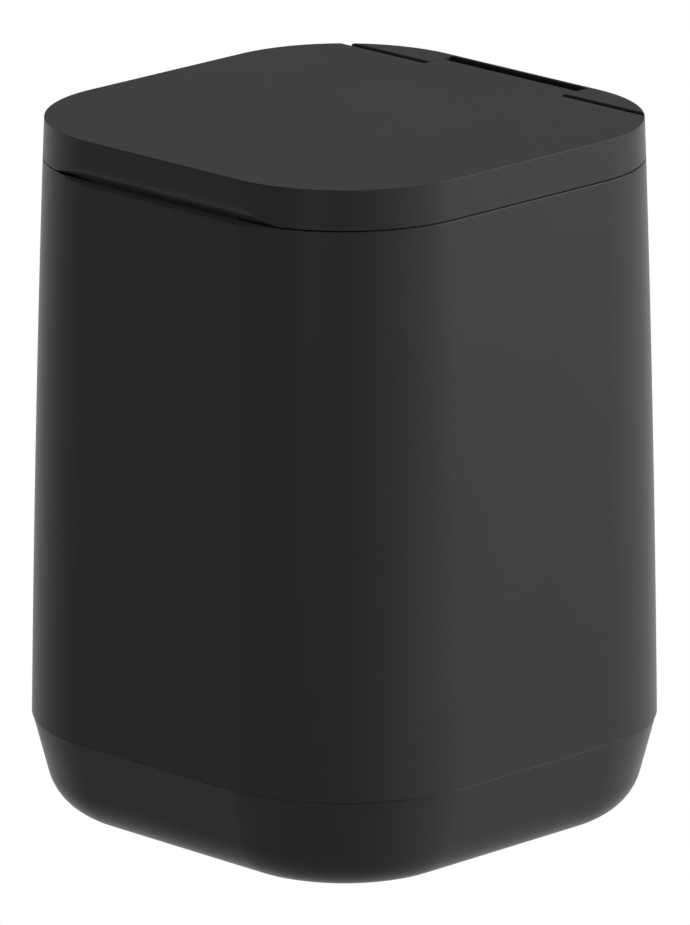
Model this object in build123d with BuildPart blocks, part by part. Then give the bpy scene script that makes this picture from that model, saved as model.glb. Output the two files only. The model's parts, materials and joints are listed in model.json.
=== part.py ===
from build123d import *
from math import atan, cos, degrees, radians, sqrt, tan
import os

os.makedirs("parts", exist_ok=True)

# Lid bin with a rounded square plan, in millimetres.
# +Z is up, +Y is the hinge side, and the origin is on the floor under the centre of the plan.

# Plan: every outline is the square of the corner centres pushed outwards, so the corners stay concentric
corner_core = 39.3
shoulder_width = 200.0
rim_width = 189.0
lid_lean = 0.6

# Heights above the underside of the base
foot_proud = 1.0
shoulder_height = 50.3
rim_height = 251.0
lid_rise = 15.0

# Shells
sleeve_wall = 2.0
side_bulge = 0.55
base_wall = 2.2
base_floor = 2.4
base_taper = 14.6
base_radius = 21.5
shoulder_step = 0.3
spigot_length = 10.0
spigot_wall = 1.8
shell_clearance = 0.15
parting_gap = 0.5
rim_round = 0.3
shoulder_round = 0.4

# Hinge frame
frame_wall = 1.6
frame_drop = 15.0
shelf_thickness = 2.5
upstand_height = 3.0
upstand_wall = 2.0
upstand_gap = 1.2
upstand_rear_gap = 3.2
deck_thickness = 2.0
pad_wall = 2.2
pad_edge = 0.5
rear_wall = 1.6

# Hinge: the lid is cut straight in front of the pads, and its tongue reaches back between them
lid_cut_depth = 16.9
pad_gap = 2.8
tongue_width = 69.6
tongue_side_gap = 0.45
hinge_slot = 6.0
pin_depth = 5.0
pin_setback = 3.5
pin_radius = 1.75
pin_length = 20.0
pin_grip = 12.0
pin_chamfer = 0.35
pin_boss_radius = 2.9
pin_boss_length = 14.0
running_clearance = 0.04
fixed_clearance = 0.05
bush_wall = 1.2
knuckle_radius = 4.2
knuckle_length = 18.0
knuckle_web_drop = 2.0

# Lid
lid_wall = 2.2
lid_edge = 0.3
liner_inset = 2.0
liner_thickness = 1.6
liner_wall = 1.6
liner_top_gap = 0.4
lid_boss_radius = 3.6
lid_screw_side = 36.6
lid_screw_end = 21.55
seal_width = 4.0
seal_inset = 1.0
seal_height = 3.3
soft_gap = 0.3
bumper_radius = 2.0
bumper_thickness = 2.0
bumper_round = 0.5
bumper_post_radius = 2.4

# Bucket
bucket_wall = 2.0
bucket_rim_height = 6.5
bucket_rim_overhang = 6.5
bucket_rim_corner = 52.0
bucket_rim_round = 0.8
bucket_rim_gap = 2.5
bucket_rear_gap = 2.3
bucket_side_gap = 2.0
bucket_floor_gap = 4.6
bucket_draft = 3.9
bucket_radius = 8.0

# Finger scoop across the front: a rolled-in skirt above, a bevelled rim below
scoop_height = 6.0
scoop_roll = 7.25
scoop_depth = 3.0
scoop_bevel = 1.8
scoop_lip = 0.5
scoop_ramp_width = 76.0
scoop_ramp_ledge = 0.3
scoop_ramp_drop = 0.6

# Screws
screw_radius = 1.75
screw_head_radius = 3.2
screw_head_height = 2.2
screw_head_round = 0.7
screw_length = 12.0
screw_point = 0.8
screw_hole_spare = 1.0
screw_slot_width = 0.8
screw_slot_length = 3.8
screw_slot_depth = 1.0
screw_land = 3.0
frame_boss_radius = 4.6
frame_boss_gap = 1.45
base_boss_radius = 4.4
base_boss_gap = 0.8
base_post_height = 38.0
base_boss_rise = 24.0
rib_gap = 0.3
rib_thickness = 2.0

# Feet
foot_radius = 8.0
foot_pocket = 2.0
foot_spread = 48.0
foot_round = 0.4

# Derived places
shoulder_half = shoulder_width / 2
rim_half = rim_width / 2
lid_half = rim_half - lid_lean
base_z = foot_proud
shoulder_z = base_z + shoulder_height
rim_z = base_z + rim_height
lid_top_z = rim_z + lid_rise
sleeve_top_z = rim_z - parting_gap / 2
lid_bottom_z = rim_z + parting_gap / 2
lid_ceiling_z = lid_top_z - lid_wall
spigot_top_z = shoulder_z + spigot_length
shelf_bottom_z = rim_z - frame_drop
shelf_top_z = shelf_bottom_z + shelf_thickness
upstand_top_z = rim_z + upstand_height
deck_top_z = lid_bottom_z + deck_thickness
upstand_out = rim_half - lid_wall - upstand_gap
upstand_in = upstand_out - upstand_wall
lid_cut_y = lid_half - lid_cut_depth
pad_front_y = lid_cut_y + pad_gap
rear_inside_y = lid_half - rear_wall
tongue_back_y = rear_inside_y - hinge_slot
hinge_y = tongue_back_y - pin_setback
hinge_z = lid_top_z - pin_depth
tongue_half = tongue_width / 2
pad_end_x = tongue_half + tongue_side_gap
core_diagonal = corner_core * sqrt(2)
lid_draft = degrees(atan(lid_lean / lid_rise))
well_half = upstand_in - bucket_rim_gap
well_rear = lid_cut_y - lid_wall - bucket_rear_gap
well_middle = (well_rear - well_half) / 2
upstand_end_y = lid_cut_y - lid_wall - upstand_rear_gap
bucket_top_z = shelf_top_z + bucket_rim_height
seal_bottom_z = bucket_top_z + soft_gap
liner_bottom_z = seal_bottom_z + seal_height
liner_top_z = liner_bottom_z + liner_thickness
head_seat = screw_head_height + 2 * fixed_clearance
hole_radius = screw_radius + fixed_clearance
recess_radius = screw_head_radius + fixed_clearance
beyond = shoulder_width + rim_width
upright = (Align.CENTER, Align.CENTER, Align.MIN)
hanging = (Align.CENTER, Align.CENTER, Align.MAX)
to_the_rear = (Align.CENTER, Align.MIN, Align.MIN)


def sleeve_half(z):
    """Half width of the sleeve's outside at height z."""
    rise = (z - shoulder_z) / (rim_z - shoulder_z)
    return shoulder_half + (rim_half - shoulder_half) * rise + 4 * side_bulge * rise * (1 - rise)


def lid_half_at(z):
    """Half width of the outside of the lid and the pads at height z."""
    return rim_half - lid_lean * (z - rim_z) / lid_rise


def plan(half):
    """Rounded square whose corners are centred on the core square."""
    return RectangleRounded(2 * half, 2 * half, half - corner_core)


def well(inset):
    """Outline of the bucket's rim, drawn in by the inset: centred in X, short of the hinge in Y."""
    with Locations((0, well_middle)):
        RectangleRounded(
            2 * (well_half - inset),
            well_half + well_rear - 2 * inset,
            bucket_rim_corner - inset,
        )


def plan_loop():
    """Closed path round the plan, starting where the +X axis crosses it."""
    offset_out = corner_core / 2
    with BuildLine() as loop:
        side = Line((corner_core + offset_out, 0), (corner_core + offset_out, corner_core))
        for run in (2 * corner_core, 2 * corner_core, 2 * corner_core, corner_core):
            corner = JernArc(start=side @ 1, tangent=side % 1, radius=offset_out, arc_size=90)
            side = Line(corner @ 1, corner @ 1 + (corner % 1) * run)
    return loop.wire()


loop_path = plan_loop()


def corner_spots(reach):
    """The four places on the plan's diagonals at this reach from the centre."""
    side = reach / sqrt(2)
    return [(-side, -side), (side, -side), (side, side), (-side, side)]


def wall_reach(z):
    """Reach of the sleeve's inner face on the plan's diagonal at height z."""
    return core_diagonal + sleeve_half(z) - sleeve_wall - corner_core


def bucket_reach(z):
    """Reach of the bucket's outer face on the front diagonals at height z."""
    rim_core = (well_half - bucket_rim_corner) * sqrt(2)
    drawn_in = bucket_rim_overhang + (bucket_top_z - z) * tan(radians(bucket_draft))
    return rim_core + bucket_rim_corner - drawn_in


def corner_at(section, across, height):
    """The corner of a section that lies at this place in its own plane."""
    return section.vertices().sort_by_distance((across, height, 0))[0]


def along_hinge(side, x):
    """Place on the hinge axis at this distance from the middle, with local Z pointing outwards."""
    return Location((side * x, hinge_y, hinge_z), (0, side * 90, 0))


def screw():
    """Pan head screw that points down, with the underside of its head at the origin."""
    with BuildPart() as blank:
        Cylinder(screw_head_radius, screw_head_height, align=upright)
        fillet(blank.edges().group_by(Axis.Z)[-1], screw_head_round)
        with Locations((0, 0, screw_head_height)):
            Box(screw_slot_length, screw_slot_width, screw_slot_depth, align=hanging, mode=Mode.SUBTRACT)
            Box(screw_slot_width, screw_slot_length, screw_slot_depth, align=hanging, mode=Mode.SUBTRACT)
        Cylinder(screw_radius, screw_length, align=hanging)
        chamfer(blank.edges().group_by(Axis.Z)[0], screw_point)
    return blank.part


def place_screws(spots, z, tilt=0):
    """Copies of the screw with their heads seated at height z, pointing up when tilted by 180."""
    one = screw()
    with Locations([Location((x, y, z), (tilt, 0, 0)) for x, y in spots]):
        add(one)


# Scoop tools: profiles in the YZ plane, straight along X, so that they fade out on the round corners
scoop_top_z = rim_z + scoop_height
scoop_face_y = -lid_half_at(scoop_top_z)
scoop_edge_y = scoop_face_y + scoop_depth
scoop_edge_z = scoop_top_z - sqrt(scoop_roll**2 - (scoop_roll - scoop_depth) ** 2)
scoop_low_z = rim_z - scoop_bevel
scoop_low_half = sleeve_half(scoop_low_z)
scoop_lip_z = scoop_top_z - sqrt(scoop_roll**2 - (scoop_roll - lid_wall) ** 2)
front_y = -beyond

with BuildPart() as scoop_roll_tool:
    with BuildSketch(Plane.YZ.offset(-beyond / 2)):
        with BuildLine():
            RadiusArc((scoop_face_y, scoop_top_z), (scoop_edge_y, scoop_edge_z), -scoop_roll)
            Polyline(
                (scoop_edge_y, scoop_edge_z),
                (scoop_edge_y, shoulder_z),
                (front_y, shoulder_z),
                (front_y, scoop_top_z),
                (scoop_face_y, scoop_top_z),
            )
        make_face()
    extrude(amount=beyond)

with BuildPart() as scoop_bevel_tool:
    with BuildSketch(Plane.YZ.offset(-beyond / 2)):
        with BuildLine():
            Polyline(
                (-scoop_low_half, scoop_low_z),
                (-scoop_low_half + frame_drop, scoop_low_z + frame_drop),
                (front_y, scoop_low_z + frame_drop),
                (front_y, scoop_low_z),
                close=True,
            )
        make_face()
    extrude(amount=beyond)

# Outer sleeve: a barrelled wall swept round the plan, with screw bosses on ribs in the corners
mid_z = (shoulder_z + rim_z) / 2
sleeve_top_half = sleeve_half(sleeve_top_z)
post_top_z = base_z + base_post_height
base_boss_z = post_top_z + fixed_clearance
base_boss_top_z = shoulder_z + base_boss_rise
frame_boss_top_z = shelf_bottom_z - screw_land
frame_boss_length = screw_length + 2 * screw_hole_spare
frame_boss_bottom_z = frame_boss_top_z - frame_boss_length
frame_screw_reach = wall_reach(frame_boss_top_z) - frame_boss_gap - frame_boss_radius
base_screw_reach = bucket_reach(base_boss_top_z) + base_boss_gap + base_boss_radius


def bosses(reach, radius, z, height, align):
    """A boss on each diagonal, with a hole as deep as the screw is long."""
    with Locations([(x, y, z) for x, y in corner_spots(reach)]):
        Cylinder(radius, height, align=align)
        Cylinder(hole_radius, screw_length, align=align, mode=Mode.SUBTRACT)


def corner_ribs(reach, z_from, z_to):
    """Radial ribs from the bosses to the sleeve's wall on the four diagonals."""
    reach_out = wall_reach(z_to) + sleeve_wall / 2
    with Locations((0, 0, z_from)):
        with PolarLocations((reach + reach_out) / 2, 4, start_angle=45):
            Box(reach_out - reach, rib_thickness, z_to - z_from, align=upright)


with BuildPart() as outer_sleeve:
    with BuildSketch(Plane.XZ) as sleeve_section:
        with BuildLine():
            ThreePointArc(
                (shoulder_half, shoulder_z),
                (sleeve_half(mid_z), mid_z),
                (sleeve_top_half, sleeve_top_z),
            )
            ThreePointArc(
                (sleeve_top_half - sleeve_wall, sleeve_top_z),
                (sleeve_half(mid_z) - sleeve_wall, mid_z),
                (shoulder_half - sleeve_wall, shoulder_z),
            )
            Line((sleeve_top_half - sleeve_wall, sleeve_top_z), (sleeve_top_half, sleeve_top_z))
            Line((shoulder_half - sleeve_wall, shoulder_z), (shoulder_half, shoulder_z))
        make_face()
        fillet(corner_at(sleeve_section, sleeve_top_half, sleeve_top_z), rim_round)
        fillet(corner_at(sleeve_section, shoulder_half, shoulder_z), shoulder_round)
    sweep(path=loop_path)
    add(scoop_bevel_tool.part, mode=Mode.SUBTRACT)
    corner_ribs(base_screw_reach, spigot_top_z + rib_gap, base_boss_top_z)
    corner_ribs(frame_screw_reach, frame_boss_bottom_z, frame_boss_top_z)
    bosses(base_screw_reach, base_boss_radius, base_boss_z, base_boss_top_z - base_boss_z, upright)
    bosses(frame_screw_reach, frame_boss_radius, frame_boss_top_z, frame_boss_length, hanging)
outer_sleeve.part.label = "outer_sleeve"
export_step(outer_sleeve.part, "parts/outer_sleeve.step")

# Base cup: tapered wall, large bottom radius, floor, spigot, screw posts and foot pockets
base_top_half = shoulder_half - shoulder_step
base_foot_half = base_top_half - shoulder_height * tan(radians(base_taper))
wall_across = base_wall / cos(radians(base_taper))
floor_top_z = base_z + base_floor
floor_half = corner_core + base_wall
inner_foot_half = base_foot_half - wall_across + base_floor * tan(radians(base_taper))
spigot_half = sleeve_half(spigot_top_z) - sleeve_wall - shell_clearance
spigot_inner = spigot_half - spigot_wall
pocket_radius = foot_radius + fixed_clearance
foot_spots = [(x * foot_spread, y * foot_spread) for y in (-1, 1) for x in (-1, 1)]

with BuildPart() as base_cup:
    with BuildSketch(Plane.XZ) as cup_section:
        with BuildLine():
            Polyline(
                (floor_half, base_z),
                (base_foot_half, base_z),
                (base_top_half, shoulder_z),
                (floor_half, shoulder_z),
                close=True,
            )
        make_face()
        fillet(corner_at(cup_section, base_foot_half, base_z), base_radius)
        with BuildSketch(Plane.XZ, mode=Mode.PRIVATE) as cup_hollow:
            with BuildLine():
                Polyline(
                    (floor_half, floor_top_z),
                    (inner_foot_half, floor_top_z),
                    (base_top_half - wall_across, shoulder_z),
                    (floor_half, shoulder_z),
                    close=True,
                )
            make_face()
            fillet(corner_at(cup_hollow, inner_foot_half, floor_top_z), base_radius - base_wall)
        add(cup_hollow.sketch, mode=Mode.SUBTRACT)
        with BuildLine():
            Polyline(
                (spigot_inner, shoulder_z - spigot_wall),
                (spigot_half, shoulder_z - spigot_wall),
                (spigot_half, spigot_top_z),
                (spigot_inner, spigot_top_z),
                close=True,
            )
        make_face()
    sweep(path=loop_path)
    with BuildSketch(Plane.XY.offset(base_z)):
        plan(floor_half + base_wall)
    extrude(amount=base_floor)
    with Locations([(x, y, base_z + base_floor / 2) for x, y in corner_spots(base_screw_reach)]):
        Cylinder(base_boss_radius, base_post_height - base_floor / 2, align=upright)
    with Locations([(x, y, base_z) for x, y in foot_spots]):
        Cylinder(pocket_radius + base_floor, foot_pocket + base_floor, align=upright)
        Cylinder(pocket_radius, foot_pocket, align=upright, mode=Mode.SUBTRACT)
    with Locations([(x, y, 0) for x, y in corner_spots(base_screw_reach)]):
        Cylinder(hole_radius, post_top_z, align=upright, mode=Mode.SUBTRACT)
        Cylinder(recess_radius, post_top_z - screw_land, align=upright, mode=Mode.SUBTRACT)
base_cup.part.label = "base_cup"
export_step(base_cup.part, "parts/base_cup.step")

# Hinge frame: collar, bucket shelf, upstand, corner pads and rear wall
collar_low = sleeve_half(shelf_bottom_z) - sleeve_wall - shell_clearance
collar_top = sleeve_top_half - sleeve_wall - shell_clearance
collar_neck_z = sleeve_top_z - frame_wall
ramp_z = scoop_low_z + scoop_low_half - scoop_ramp_drop
ramp_front = collar_top - scoop_ramp_ledge
ramp_back = (upstand_in + upstand_out) / 2


def behind(y):
    """Keep only what lies behind this line of the sketch."""
    with Locations((0, y)):
        Rectangle(beyond, beyond, align=(Align.CENTER, Align.MIN), mode=Mode.INTERSECT)


def ahead(y):
    """Keep only what lies ahead of this line of the sketch."""
    with Locations((0, y)):
        Rectangle(beyond, beyond, align=(Align.CENTER, Align.MAX), mode=Mode.INTERSECT)


def beside(x):
    """Cut away what lies within this distance of the sketch's middle."""
    Rectangle(2 * x, beyond, mode=Mode.SUBTRACT)


# The outside of the lid and the pads in one: a slab with drafted sides and a bevelled top edge
with BuildPart() as top_slab:
    with BuildSketch(Plane.XZ) as slab_section:
        with BuildLine():
            Polyline(
                (corner_core + lid_wall, lid_bottom_z),
                (lid_half_at(lid_bottom_z), lid_bottom_z),
                (lid_half, lid_top_z),
                (corner_core + lid_wall, lid_top_z),
                close=True,
            )
        make_face()
        chamfer(corner_at(slab_section, lid_half, lid_top_z), lid_edge)
    sweep(path=loop_path)
    with BuildSketch(Plane.XY.offset(lid_bottom_z)):
        plan(corner_core + 2 * lid_wall)
    extrude(amount=lid_top_z - lid_bottom_z)

# The pads and the rear wall: what is left of the slab behind the lid's cut, hollowed from below
with BuildPart() as rear_block:
    add(top_slab.part)
    with BuildSketch(Plane.XY.offset(lid_bottom_z)):
        plan(beyond / 2)
        ahead(pad_front_y)
    extrude(amount=2 * lid_rise, mode=Mode.SUBTRACT)
    with BuildSketch(Plane.YZ.offset(-beyond / 2)):
        with Locations((pad_front_y, lid_top_z)):
            Rectangle(pad_edge * sqrt(2), pad_edge * sqrt(2), rotation=45)
    extrude(amount=beyond, mode=Mode.SUBTRACT)
    with BuildSketch(Plane.XY.offset(deck_top_z)):
        with Locations((0, rear_inside_y)):
            Rectangle(2 * pad_end_x, rear_inside_y, align=(Align.CENTER, Align.MAX))
    extrude(amount=lid_rise, mode=Mode.SUBTRACT)
    with BuildSketch(Plane.XY.offset(lid_bottom_z)):
        plan(upstand_in)
        behind(pad_front_y + pad_wall)
        beside(pad_end_x + pad_wall)
    extrude(amount=deck_thickness, mode=Mode.SUBTRACT)
    with BuildSketch(Plane.XY.offset(deck_top_z)):
        plan(lid_half - pad_wall)
        behind(pad_front_y + pad_wall)
        beside(pad_end_x + pad_wall)
    extrude(amount=lid_top_z - pad_wall - deck_top_z, mode=Mode.SUBTRACT)

with BuildPart() as hinge_frame:
    with BuildSketch(Plane.XZ):
        with BuildLine():
            Polyline(
                (collar_low, shelf_bottom_z),
                (collar_top, sleeve_top_z),
                (upstand_out, sleeve_top_z),
                (upstand_out, upstand_top_z),
                (upstand_in, upstand_top_z),
                (upstand_in, collar_neck_z),
                (collar_top - frame_wall, collar_neck_z),
                (collar_low - frame_wall, shelf_bottom_z),
                close=True,
            )
        make_face()
    sweep(path=loop_path)
    with BuildSketch(Plane.XY.offset(sleeve_top_z)):
        plan(beyond / 2)
        behind(upstand_end_y)
        ahead(pad_front_y + pad_wall / 2)
    extrude(amount=lid_rise, mode=Mode.SUBTRACT)
    with BuildSketch(Plane.XY.offset(shelf_bottom_z)):
        plan(collar_low - frame_wall / 2)
        with BuildSketch(mode=Mode.PRIVATE) as mouth:
            well(bucket_rim_overhang - bucket_side_gap)
        add(mouth.sketch, mode=Mode.SUBTRACT)
    extrude(amount=shelf_thickness)
    add(rear_block.part)
    with BuildSketch(Plane.YZ.offset(-scoop_ramp_width / 2)):
        with BuildLine():
            Polyline(
                (-ramp_front, collar_neck_z),
                (-ramp_front, ramp_z - ramp_front),
                (-upstand_out, ramp_z - upstand_out),
                (-ramp_back, ramp_z - upstand_out),
                (-ramp_back, collar_neck_z),
                close=True,
            )
        make_face()
    extrude(amount=scoop_ramp_width)
    with Locations([(x, y, frame_boss_top_z) for x, y in corner_spots(frame_screw_reach)]):
        Cylinder(frame_boss_radius, screw_land + shelf_thickness / 2, align=upright)
        Cylinder(hole_radius, screw_land + shelf_thickness, align=upright, mode=Mode.SUBTRACT)
    with Locations([(x, y, shelf_top_z) for x, y in corner_spots(frame_screw_reach)]):
        Cylinder(recess_radius, head_seat, align=hanging, mode=Mode.SUBTRACT)
    for side in (-1, 1):
        with Locations(along_hinge(side, pad_end_x)):
            Cylinder(pin_boss_radius, pin_boss_length, align=upright)
            Cylinder(pin_radius + fixed_clearance, pin_grip, align=upright, mode=Mode.SUBTRACT)
hinge_frame.part.label = "hinge_frame"
export_step(hinge_frame.part, "parts/hinge_frame.step")

# Lid cover: flat top, short skirt, straight rear cut, tongue with two knuckles
lid_screw_x = well_half - lid_screw_side
lid_screw_y = (well_half + well_rear) / 2 - lid_screw_end
liner_screw_spots = [
    (side * lid_screw_x, well_middle + row * lid_screw_y) for side in (-1, 1) for row in (-1, 0, 1)
]
bumper_reach = core_diagonal + (upstand_in + upstand_out) / 2 - corner_core
bumper_spots = corner_spots(bumper_reach)[:2]
bumper_bottom_z = upstand_top_z + soft_gap
bumper_top_z = bumper_bottom_z + bumper_thickness
bush_length = pin_length - pin_grip - tongue_side_gap
bush_radius = pin_radius + running_clearance + bush_wall
knuckle_middle = tongue_half - knuckle_length / 2
web_bottom_z = hinge_z - knuckle_web_drop
lid_hole_depth = screw_length - liner_thickness + screw_hole_spare

with BuildPart() as lid_cover:
    add(top_slab.part)
    with BuildSketch(Plane.XY.offset(lid_bottom_z)):
        plan(lid_half_at(lid_bottom_z) - lid_wall)
        ahead(lid_cut_y - lid_wall)
    extrude(amount=lid_ceiling_z - lid_bottom_z, taper=lid_draft, mode=Mode.SUBTRACT)
    with BuildSketch(Plane.XY.offset(lid_bottom_z)):
        plan(beyond / 2)
        behind(lid_cut_y)
    extrude(amount=lid_ceiling_z - lid_bottom_z, mode=Mode.SUBTRACT)
    with BuildSketch(Plane.XY.offset(lid_bottom_z)):
        plan(beyond / 2)
        behind(lid_cut_y)
        with Locations((0, tongue_back_y)):
            Rectangle(tongue_width, beyond, align=(Align.CENTER, Align.MAX), mode=Mode.SUBTRACT)
    extrude(amount=2 * lid_rise, mode=Mode.SUBTRACT)
    with Locations((0, -lid_half_at(scoop_lip_z) + lid_wall, scoop_lip_z)):
        Box(scoop_ramp_width, scoop_lip, scoop_top_z - scoop_lip_z, align=to_the_rear)
    add(scoop_roll_tool.part, mode=Mode.SUBTRACT)
    with Locations([(x, y, liner_top_z) for x, y in liner_screw_spots]):
        Cylinder(lid_boss_radius, lid_ceiling_z - liner_top_z, align=upright)
        Cylinder(hole_radius, lid_hole_depth, align=upright, mode=Mode.SUBTRACT)
    with Locations([(x, y, bumper_top_z) for x, y in bumper_spots]):
        Cylinder(bumper_post_radius, lid_ceiling_z - bumper_top_z, align=upright)
    for side in (-1, 1):
        with Locations((side * knuckle_middle, lid_cut_y - lid_wall / 2, web_bottom_z)):
            Box(
                knuckle_length,
                hinge_y - lid_cut_y + lid_wall / 2,
                lid_ceiling_z - web_bottom_z,
                align=to_the_rear,
            )
        with Locations(along_hinge(side, knuckle_middle)):
            Cylinder(knuckle_radius, knuckle_length)
            Cylinder(bush_radius + fixed_clearance, knuckle_length, mode=Mode.SUBTRACT)
lid_cover.part.label = "lid_cover"
export_step(lid_cover.part, "parts/lid_cover.step")

# Lid liner: a tray with an upturned wall, screwed to the cover from below
with BuildPart() as lid_liner:
    with BuildSketch(Plane.XY.offset(liner_bottom_z)):
        well(liner_inset)
    extrude(amount=lid_ceiling_z - liner_top_gap - liner_bottom_z)
    with BuildSketch(Plane.XY.offset(liner_top_z)):
        well(liner_inset + liner_wall)
    extrude(amount=lid_rise, mode=Mode.SUBTRACT)
    with Locations([(x, y, liner_bottom_z) for x, y in liner_screw_spots]):
        Cylinder(hole_radius, liner_thickness, align=upright, mode=Mode.SUBTRACT)
lid_liner.part.label = "lid_liner"
export_step(lid_liner.part, "parts/lid_liner.step")

# Lid seal: a soft ring under the liner, over the bucket's rim
with BuildPart() as lid_seal:
    with BuildSketch(Plane.XY.offset(seal_bottom_z)):
        well(liner_inset + seal_inset)
        with BuildSketch(mode=Mode.PRIVATE) as seal_hole:
            well(liner_inset + seal_inset + seal_width)
        add(seal_hole.sketch, mode=Mode.SUBTRACT)
    extrude(amount=seal_height)
lid_seal.part.label = "lid_seal"
export_step(lid_seal.part, "parts/lid_seal.step")

# Inner bucket: tapered pail that hangs by its turned-down rim
bucket_bottom_z = floor_top_z + bucket_floor_gap
bucket_depth = bucket_top_z - bucket_bottom_z

with BuildPart() as bucket_hollow:
    with BuildSketch(Plane.XY.offset(bucket_top_z)):
        well(bucket_rim_overhang + bucket_wall)
    extrude(amount=-(bucket_depth - bucket_wall), taper=bucket_draft)
    fillet(bucket_hollow.edges().group_by(Axis.Z)[0], bucket_radius - bucket_wall)

with BuildPart() as inner_bucket:
    with BuildSketch(Plane.XY.offset(bucket_top_z)):
        well(bucket_rim_overhang)
    extrude(amount=-bucket_depth, taper=bucket_draft)
    fillet(inner_bucket.edges().group_by(Axis.Z)[0], bucket_radius)
    with BuildSketch(Plane.XY.offset(shelf_top_z)):
        well(0)
    extrude(amount=bucket_rim_height)
    fillet(inner_bucket.edges().group_by(Axis.Z)[-1], bucket_rim_round)
    with BuildSketch(Plane.XY.offset(shelf_top_z)):
        well(bucket_wall)
        with BuildSketch(mode=Mode.PRIVATE) as bucket_body:
            well(bucket_rim_overhang)
        add(bucket_body.sketch, mode=Mode.SUBTRACT)
    extrude(amount=bucket_rim_height - bucket_wall, mode=Mode.SUBTRACT)
    add(bucket_hollow.part, mode=Mode.SUBTRACT)
inner_bucket.part.label = "inner_bucket"
export_step(inner_bucket.part, "parts/inner_bucket.step")

# Fasteners: four down through the shelf, four up through the base, six up through the liner
with BuildPart() as frame_screws:
    place_screws(corner_spots(frame_screw_reach), shelf_top_z - head_seat)
frame_screws.part.label = "frame_screws"
export_step(frame_screws.part, "parts/frame_screws.step")

with BuildPart() as base_screws:
    place_screws(corner_spots(base_screw_reach), post_top_z - screw_land, tilt=180)
base_screws.part.label = "base_screws"
export_step(base_screws.part, "parts/base_screws.step")

with BuildPart() as lid_screws:
    place_screws(liner_screw_spots, liner_bottom_z, tilt=180)
lid_screws.part.label = "lid_screws"
export_step(lid_screws.part, "parts/lid_screws.step")

# Feet: rubber discs in the base's pockets
for place, (x, y) in zip(("front_left", "front_right", "rear_left", "rear_right"), foot_spots):
    with BuildPart() as foot:
        with Locations((x, y, 0)):
            Cylinder(foot_radius, foot_proud + foot_pocket, align=upright)
        chamfer(foot.edges().group_by(Axis.Z)[0], foot_round)
    foot.part.label = f"foot_{place}"
    export_step(foot.part, f"parts/foot_{place}.step")

# Hinge pins, held by the pads and reaching into the bushes
for place, side in (("left", -1), ("right", 1)):
    with BuildPart() as pin:
        with Locations(along_hinge(side, pad_end_x + pin_grip - pin_length)):
            Cylinder(pin_radius, pin_length - fixed_clearance, align=upright)
        chamfer(pin.edges().filter_by(GeomType.CIRCLE), pin_chamfer)
    pin.part.label = f"hinge_pin_{place}"
    export_step(pin.part, f"parts/hinge_pin_{place}.step")

# Hinge bushes, in the ends of the lid's knuckles
for place, side in (("left", -1), ("right", 1)):
    with BuildPart() as bush:
        with Locations(along_hinge(side, tongue_half - bush_length)):
            Cylinder(bush_radius, bush_length, align=upright)
            Cylinder(pin_radius + running_clearance, bush_length, align=upright, mode=Mode.SUBTRACT)
    bush.part.label = f"hinge_bush_{place}"
    export_step(bush.part, f"parts/hinge_bush_{place}.step")

# Lid bumpers: soft stops under the posts at the lid's front corners
for place, (x, y) in zip(("left", "right"), bumper_spots):
    with BuildPart() as bumper:
        with Locations((x, y, bumper_bottom_z)):
            Cylinder(bumper_radius, bumper_thickness, align=upright)
        fillet(bumper.edges().group_by(Axis.Z)[0], bumper_round)
    bumper.part.label = f"lid_bumper_{place}"
    export_step(bumper.part, f"parts/lid_bumper_{place}.step")
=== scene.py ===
import json
from math import acos, cos, pi, radians, sin, sqrt, tan

import bmesh
import bpy
from mathutils import Matrix, Vector


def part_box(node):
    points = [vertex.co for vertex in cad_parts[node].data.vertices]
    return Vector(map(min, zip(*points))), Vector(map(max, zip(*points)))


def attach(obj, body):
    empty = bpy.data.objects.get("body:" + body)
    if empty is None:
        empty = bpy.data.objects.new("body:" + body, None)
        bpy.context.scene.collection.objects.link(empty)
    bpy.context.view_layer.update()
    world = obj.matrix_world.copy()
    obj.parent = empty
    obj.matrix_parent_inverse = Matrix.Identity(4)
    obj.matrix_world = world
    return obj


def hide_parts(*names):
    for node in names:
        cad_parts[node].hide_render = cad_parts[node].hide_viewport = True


bl_info = {
    "name": "Lid bin",
    "version": (1, 0, 0),
    "blender": (4, 5, 0),
    "location": "View3D > Sidebar > Bin",
    "description": "Dresses a small black lid bin: shells, lid, bucket, seal, feet, hinge and stage",
    "category": "Object",
}

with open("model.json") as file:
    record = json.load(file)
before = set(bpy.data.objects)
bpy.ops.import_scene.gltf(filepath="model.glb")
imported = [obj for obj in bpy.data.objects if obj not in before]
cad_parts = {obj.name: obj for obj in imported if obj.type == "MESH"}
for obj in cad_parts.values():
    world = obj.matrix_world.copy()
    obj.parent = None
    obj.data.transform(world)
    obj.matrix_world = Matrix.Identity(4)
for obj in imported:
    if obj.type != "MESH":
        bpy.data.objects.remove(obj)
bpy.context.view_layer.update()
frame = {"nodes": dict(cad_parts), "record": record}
NODES = frame["nodes"]
SLEEVE_LOW, SLEEVE_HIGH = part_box("outer_sleeve")
BASE_LOW, BASE_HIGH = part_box("base_cup")
LID_LOW, LID_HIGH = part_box("lid_cover")
BUSH_LOW, BUSH_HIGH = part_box("hinge_bush_right")
FEET = [f"foot_{end}_{side}" for end in ("front", "rear") for side in ("left", "right")]
BUMPERS = ["lid_bumper_left", "lid_bumper_right"]
# Name, degrees round from the front, degrees above the floor, distance, width, height, power in watts.
LAMPS = (
    ("key_right", 135, 17, 2.5, 1.6, 1.4, 106.0),
    ("front_strip", 22, 2, 2.5, 0.4, 1.2, 18.0),
    ("top_soft", -10, 75, 2.5, 1.6, 1.6, 12.0),
    ("rim_left", -90, 12, 2.5, 0.8, 1.8, 14.0),
    ("rear_soft", 225, 25, 2.5, 3.0, 1.2, 4.6),
)
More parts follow.
